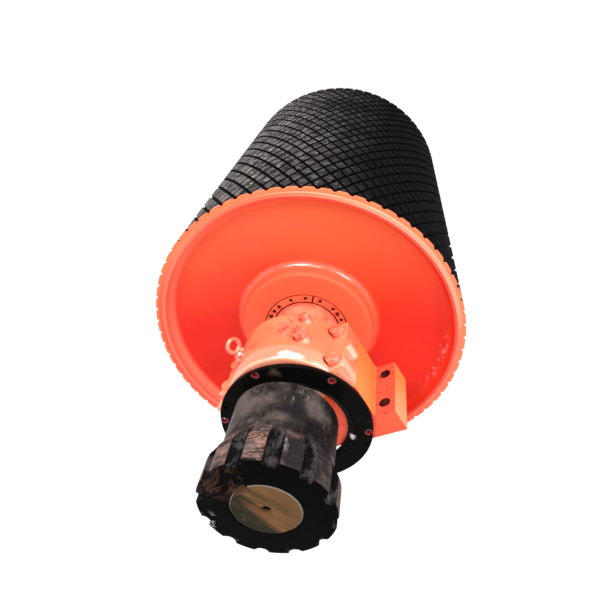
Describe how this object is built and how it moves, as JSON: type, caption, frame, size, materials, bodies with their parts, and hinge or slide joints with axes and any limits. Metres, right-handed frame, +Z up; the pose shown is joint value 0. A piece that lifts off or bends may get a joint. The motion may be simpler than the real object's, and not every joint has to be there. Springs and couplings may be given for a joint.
{
  "type": "conveyor pulley drum",
  "caption": "Lagged belt conveyor drive pulley: drum with diamond-grooved rubber on a stepped shaft in split bearing housings, with a toothed coupling half and its loose retaining ring.",
  "frame": {"origin": "on the shaft axis, midway along the drum", "axes": "+Y along the shaft from the coupling towards the far end, +Z up, away from the housings' feet, +X to the right seen from the coupling end"},
  "size_m": [1.0236, 2.403, 1.0236],
  "materials": {
    "orange_paint": "glossy enamel over rough castings",
    "lagging_rubber": "matt, dusty on the diamonds",
    "shaft_steel": "turned; neck painted orange, end face greased",
    "coupling_iron": "dark semi-gloss primer",
    "key_steel": "dull",
    "black_paint": "satin",
    "bearing_steel": "ground",
    "bare_steel": "turned",
    "screw_steel": "dark, oversprayed",
    "cage_brass": "machined"
  },
  "bodies": {
    "housings": {"housing_base_drive": "orange_paint", "housing_base_far": "orange_paint", "housing_cap_drive": "orange_paint", "housing_cap_far": "orange_paint", "cap_bolts_drive": "orange_paint", "cap_bolts_far": "orange_paint", "cap_washers_drive": "orange_paint", "cap_washers_far": "orange_paint", "dowel_pins_drive": "bare_steel", "dowel_pins_far": "bare_steel", "eye_bolt_drive": "orange_paint", "eye_bolt_far": "orange_paint", "grease_fitting_drive": "orange_paint", "grease_fitting_far": "orange_paint", "cap_plugs_drive": "orange_paint", "cap_plugs_far": "orange_paint", "drain_plug_drive": "orange_paint", "drain_plug_far": "orange_paint", "bearing_outer_ring_drive": "bearing_steel", "bearing_outer_ring_far": "bearing_steel", "locating_rings_drive": "bare_steel", "far_end_cap": "orange_paint"},
    "rotor": {"drum_shell": "orange_paint", "lagging": "lagging_rubber", "end_disc_drive": "orange_paint", "end_disc_far": "orange_paint", "lock_outer_ring_drive": "bare_steel", "lock_inner_ring_drive": "bare_steel", "lock_front_ring_drive": "orange_paint", "lock_rear_ring_drive": "bare_steel", "lock_screws_drive": "screw_steel", "lock_outer_ring_far": "bare_steel", "lock_inner_ring_far": "bare_steel", "lock_front_ring_far": "orange_paint", "lock_rear_ring_far": "bare_steel", "lock_screws_far": "screw_steel", "shaft": "shaft_steel", "coupling_key": "key_steel", "coupling_hub": "coupling_iron", "bearing_inner_ring_drive": "bearing_steel", "bearing_inner_ring_far": "bearing_steel", "lock_nut_drive": "bare_steel", "tab_washer_drive": "bare_steel", "lock_nut_far": "bare_steel", "tab_washer_far": "bare_steel", "inner_seal_ring_drive": "bare_steel", "outer_seal_ring_drive": "bare_steel", "inner_seal_ring_far": "bare_steel"},
    "rollers_drive": {"bearing_rollers_drive": "bearing_steel", "bearing_cage_drive": "cage_brass"},
    "rollers_far": {"bearing_rollers_far": "bearing_steel", "bearing_cage_far": "cage_brass"},
    "loose_ring": {"retaining_ring": "black_paint"}
  },
  "joints": [
    {"name": "drum_spin", "type": "hinge", "parent": "housings", "child": "rotor", "pos_m": [0, 0, 0], "axis": [0, 1, 0], "continuous": true},
    {"name": "rollers_drive_spin", "type": "hinge", "parent": "housings", "child": "rollers_drive", "pos_m": [0, -0.93, 0], "axis": [0, 1, 0], "continuous": true},
    {"name": "rollers_far_spin", "type": "hinge", "parent": "housings", "child": "rollers_far", "pos_m": [0, 0.93, 0], "axis": [0, 1, 0], "continuous": true},
    {"name": "ring_slide", "type": "slide", "parent": "housings", "child": "loose_ring", "axis": [0, -1, 0], "range_m": [-0.0015, 0.04]}
  ],
  "couplings": [
    {"joint": "rollers_drive_spin", "follows": "drum_spin", "ratio": 0.4233},
    {"joint": "rollers_far_spin", "follows": "drum_spin", "ratio": 0.4233}
  ]
}
